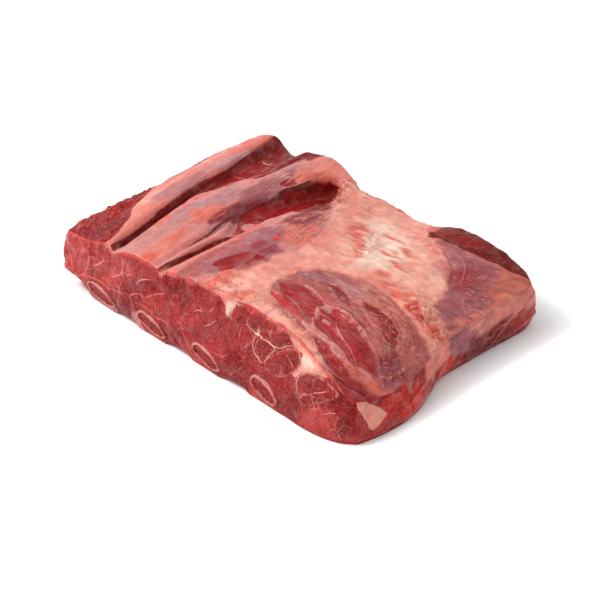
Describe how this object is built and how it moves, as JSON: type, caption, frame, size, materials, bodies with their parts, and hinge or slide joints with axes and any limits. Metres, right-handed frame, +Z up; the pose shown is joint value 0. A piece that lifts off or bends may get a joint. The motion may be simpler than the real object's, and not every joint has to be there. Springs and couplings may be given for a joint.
{
  "type": "raw beef chuck short ribs",
  "caption": "Raw slab of beef short ribs: dark red cut face with rib ends along the foot, furrowed muscle bands and a pale fat cover on top.",
  "frame": {"origin": "middle of the slab in plan, on the surface it rests on", "axes": "+X across the ribs, towards the thin fat-covered end; ribs run along Y, and the cut face with the rib ends looks towards -Y; +Z up, the fat and muscle side"},
  "size_m": [0.2644, 0.1883, 0.0544],
  "materials": {
    "meat": "moist raw beef with silverskin on the muscle bands",
    "fat": "moist pale pink fat",
    "bone": "sawn raw bone, faintly pink",
    "marrow": "sawn spongy bone, dark red"
  },
  "bodies": {
    "root": {"meat": "meat", "fat_cover": "fat", "rib_bone_1": "bone", "rib_bone_2": "bone", "rib_bone_3": "bone", "rib_bone_4": "bone", "rib_marrow_1": "marrow", "rib_marrow_2": "marrow", "rib_marrow_3": "marrow", "rib_marrow_4": "marrow"}
  },
  "joints": []
}
